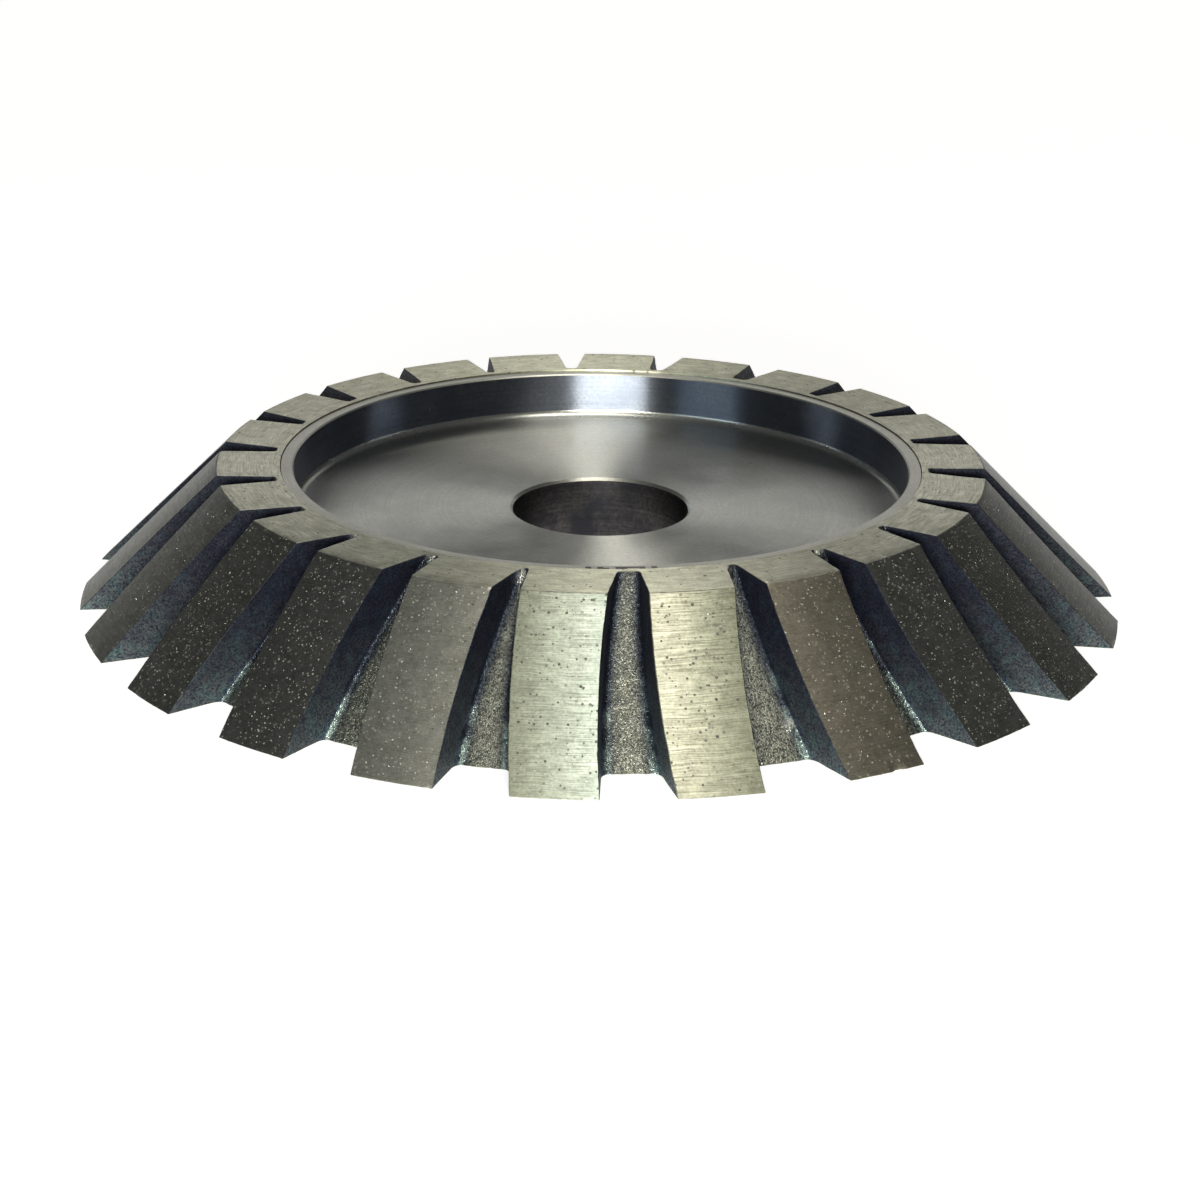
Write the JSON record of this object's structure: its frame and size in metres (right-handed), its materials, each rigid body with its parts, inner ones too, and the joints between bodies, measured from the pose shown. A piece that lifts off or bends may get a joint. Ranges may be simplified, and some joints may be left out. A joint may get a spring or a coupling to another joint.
{
  "type": "diamond bevelling wheel",
  "caption": "Cone-shaped grinding wheel for bevelling edges, with block teeth of sintered metal and diamond grit round a recessed steel core that has a central bore.",
  "frame": {"origin": "on the axis of the bore, in the plane of the back face that the wheel lies on", "axes": "+Z along the bore, out of the recess; -Y through the middle of the first tooth; +X to the right of it as seen from the front"},
  "size_m": [0.1498, 0.15, 0.02],
  "materials": {
    "core_steel": "turned and polished bare steel",
    "sintered_crown": "sintered metal bond with diamond grit, ground on the bevel and the top"
  },
  "bodies": {
    "root": {"steel_core": "core_steel", "diamond_crown": "sintered_crown"}
  },
  "joints": []
}
